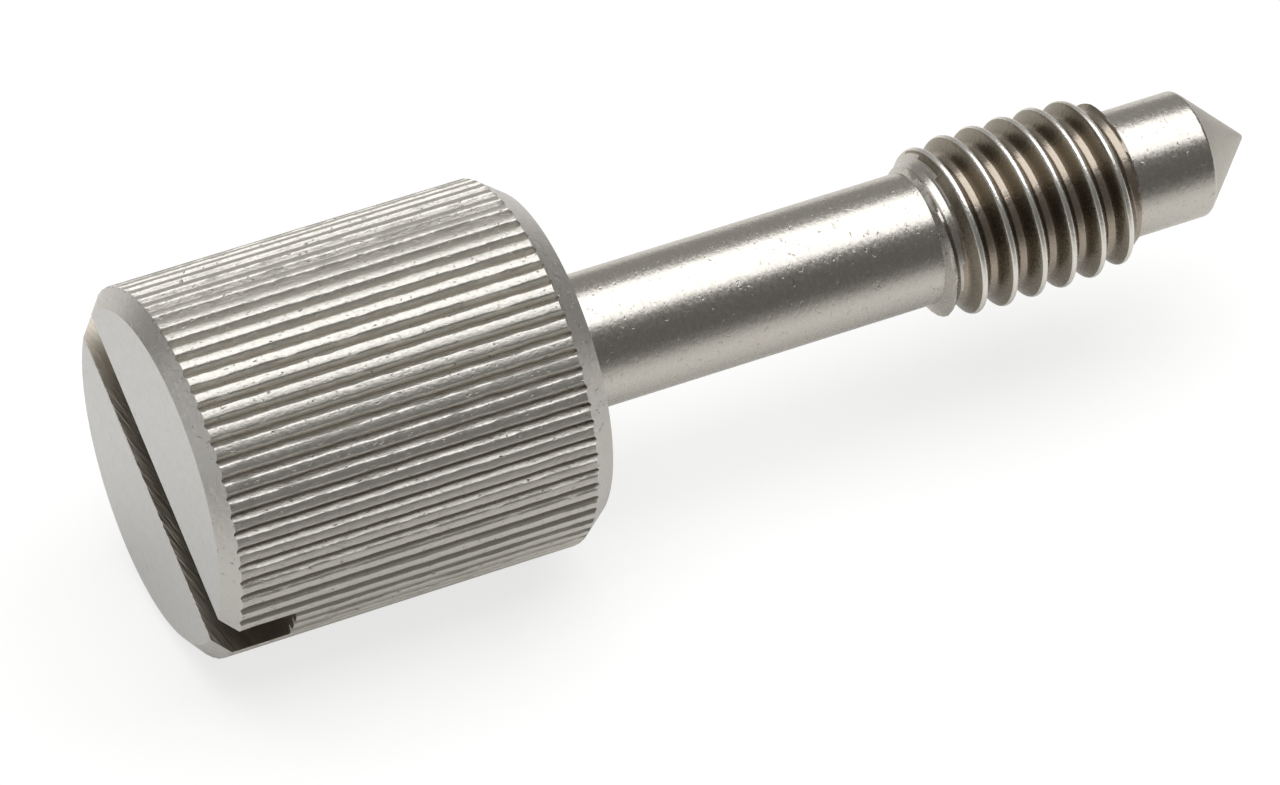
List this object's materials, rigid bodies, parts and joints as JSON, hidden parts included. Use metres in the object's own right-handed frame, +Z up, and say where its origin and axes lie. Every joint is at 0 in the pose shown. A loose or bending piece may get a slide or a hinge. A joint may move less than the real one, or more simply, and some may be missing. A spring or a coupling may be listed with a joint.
{
  "type": "thumb screw",
  "caption": "Turned steel thumb screw with a straight-knurled slotted head, a plain neck, a short thread and a plain pilot with a cone point.",
  "frame": {"origin": "on the screw's axis, in the plane of the bearing face under the head", "axes": "+X along the screw's axis from the head to the point, +Z up as the screw lies on its head"},
  "size_m": [0.0254, 0.008, 0.008],
  "materials": {
    "steel": "turned, knurled and passivated"
  },
  "bodies": {
    "root": {"thumb_screw": "steel"}
  },
  "joints": []
}
